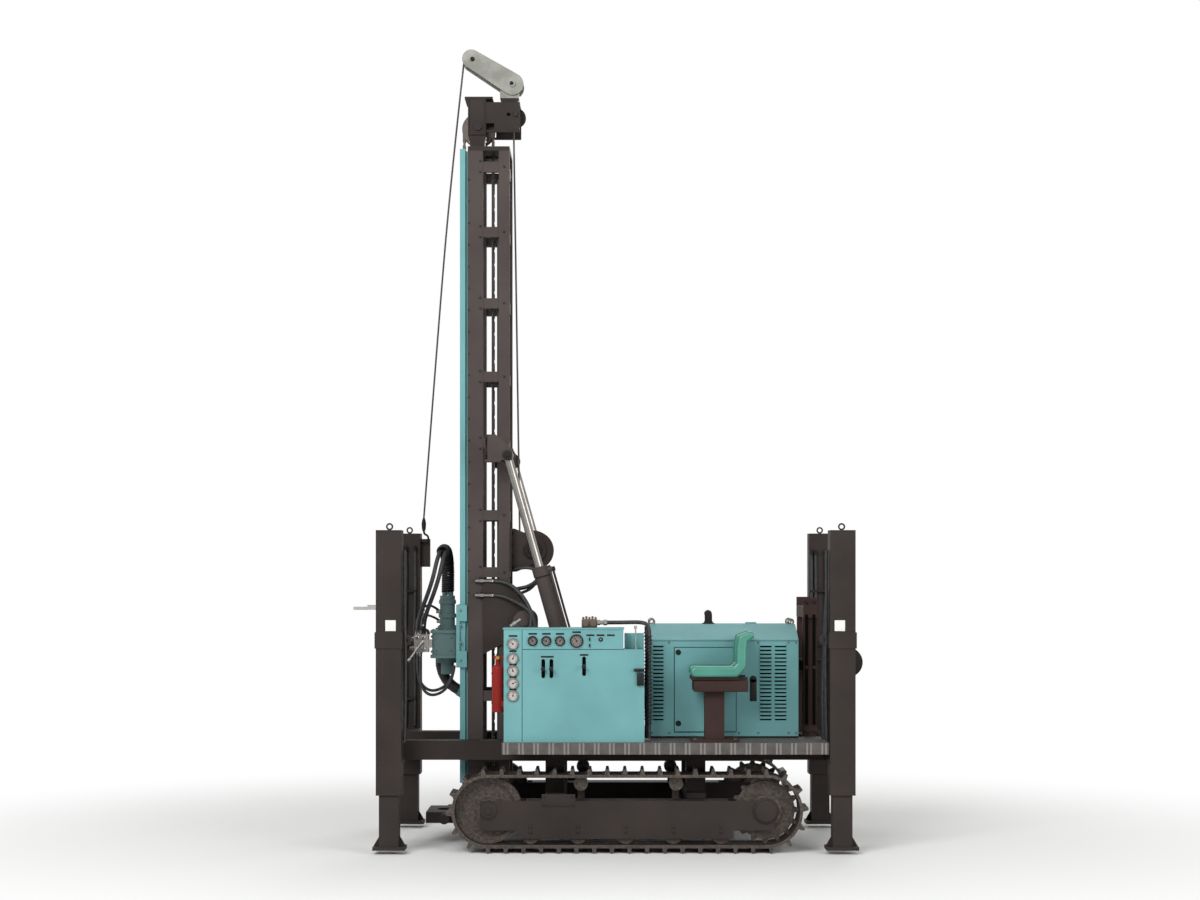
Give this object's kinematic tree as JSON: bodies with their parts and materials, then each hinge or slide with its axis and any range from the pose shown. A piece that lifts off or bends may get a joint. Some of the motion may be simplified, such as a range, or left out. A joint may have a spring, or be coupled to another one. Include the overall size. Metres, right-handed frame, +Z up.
{
  "type": "water well drilling rig",
  "caption": "Crawler water well drilling rig with a raised lattice mast, rotary head, tall jack legs, console and engine hood.",
  "frame": {"origin": "on the ground under the middle of the machine's box", "axes": "+X to the engine end, -X to the mast, -Y the console side, +Z up"},
  "size_m": [3.886, 1.846, 5.894],
  "materials": {
    "teal_paint": "gloss enamel",
    "charcoal_paint": "satin enamel",
    "black_paint": "satin enamel",
    "track_steel": "worn",
    "bare_steel": "machined",
    "chrome_rod": "polished",
    "galvanised_plate": "zinc plated",
    "seat_plastic": "moulded",
    "red_paint": "gloss enamel",
    "hose_rubber": "matt",
    "deck_plate": "chequer plate"
  },
  "bodies": {
    "chassis": {"chassis_frame": "charcoal_paint", "deck": "deck_plate", "track_near": "track_steel", "track_far": "track_steel", "track_frames": "charcoal_paint", "track_rollers": "track_steel", "mast_tower": "charcoal_paint", "cylinder_clevises": "charcoal_paint", "mast_rest": "charcoal_paint", "leg_box_front_near": "charcoal_paint", "leg_box_front_far": "charcoal_paint", "leg_box_rear_near": "charcoal_paint", "leg_box_rear_far": "charcoal_paint", "console": "teal_paint", "console_gauges": "bare_steel", "console_levers": "black_paint", "air_lubricator": "black_paint", "extinguisher": "red_paint", "seat": "seat_plastic", "seat_pedestal": "black_paint", "engine_hood": "teal_paint", "hood_panel_near": "teal_paint", "engine_block": "black_paint", "exhaust": "black_paint", "oil_tank": "teal_paint", "fuel_tank": "teal_paint", "air_cleaner": "black_paint", "rear_lamp": "black_paint", "rod_spanner": "bare_steel"},
    "hood_door": {"hood_door_far": "teal_paint"},
    "mast": {"mast_frame": "charcoal_paint", "mast_guides": "teal_paint", "swing_plates": "charcoal_paint", "crown": "charcoal_paint", "feed_sprockets": "bare_steel", "feed_chain": "bare_steel", "winch_frame": "charcoal_paint", "rod_table": "charcoal_paint"},
    "winch": {"winch_drum": "charcoal_paint"},
    "jib": {"jib": "galvanised_plate", "jib_sheave": "bare_steel"},
    "head": {"head_gearbox": "teal_paint", "head_motor": "teal_paint", "head_carriage": "teal_paint", "head_manifold": "bare_steel", "head_hose_first": "hose_rubber", "head_hose_second": "hose_rubber", "air_hose": "hose_rubber"},
    "spindle": {"head_spindle": "teal_paint"},
    "cylinder_barrels": {"cylinder_barrels": "charcoal_paint"},
    "cylinder_rods": {"cylinder_rods": "chrome_rod"},
    "jack_front_near": {"leg_jack_front_near": "charcoal_paint"},
    "jack_front_far": {"leg_jack_front_far": "charcoal_paint"},
    "jack_rear_near": {"leg_jack_rear_near": "charcoal_paint"},
    "jack_rear_far": {"leg_jack_rear_far": "charcoal_paint"}
  },
  "joints": [
    {"name": "mast_tilt", "type": "hinge", "parent": "chassis", "child": "mast", "pos_m": [-0.561, 0, 1.64], "axis": [0, 1, 0], "range_deg": [0, 90]},
    {"name": "barrel_swing", "type": "hinge", "parent": "chassis", "child": "cylinder_barrels", "pos_m": [-0.172, 0, 1.067], "axis": [0, 1, 0], "range_deg": [0, 66]},
    {"name": "rod_slide", "type": "slide", "parent": "cylinder_barrels", "child": "cylinder_rods", "axis": [-0.2718, 0, 0.9624], "range_m": [-0.785, 0]},
    {"name": "head_feed", "type": "slide", "parent": "mast", "child": "head", "axis": [0, 0, 1], "range_m": [-0.55, 2.75]},
    {"name": "spindle_spin", "type": "hinge", "parent": "head", "child": "spindle", "pos_m": [-1.147, 0, 1.3], "axis": [0, 0, 1], "continuous": true},
    {"name": "winch_spin", "type": "hinge", "parent": "mast", "child": "winch", "pos_m": [-0.502, 0, 2.163], "axis": [0, 1, 0], "continuous": true},
    {"name": "jib_swivel", "type": "hinge", "parent": "mast", "child": "jib", "pos_m": [-0.681, 0, 5.533], "axis": [0, 0, 1], "range_deg": [-90, 90]},
    {"name": "hood_door_swing", "type": "hinge", "parent": "chassis", "child": "hood_door", "pos_m": [0.993, 0.4453, 1.145], "axis": [0, 0, -1], "range_deg": [0, 110]},
    {"name": "jack_front_near_slide", "type": "slide", "parent": "chassis", "child": "jack_front_near", "axis": [0, 0, -1], "range_m": [0, 1.3]},
    {"name": "jack_front_far_slide", "type": "slide", "parent": "chassis", "child": "jack_front_far", "axis": [0, 0, -1], "range_m": [0, 1.3]},
    {"name": "jack_rear_near_slide", "type": "slide", "parent": "chassis", "child": "jack_rear_near", "axis": [0, 0, -1], "range_m": [0, 1.3]},
    {"name": "jack_rear_far_slide", "type": "slide", "parent": "chassis", "child": "jack_rear_far", "axis": [0, 0, -1], "range_m": [0, 1.3]}
  ],
  "couplings": [
    {"joint": "barrel_swing", "follows": "mast_tilt", "ratio": 0.7309},
    {"joint": "rod_slide", "follows": "mast_tilt", "m_per_rad": -0.4976}
  ]
}
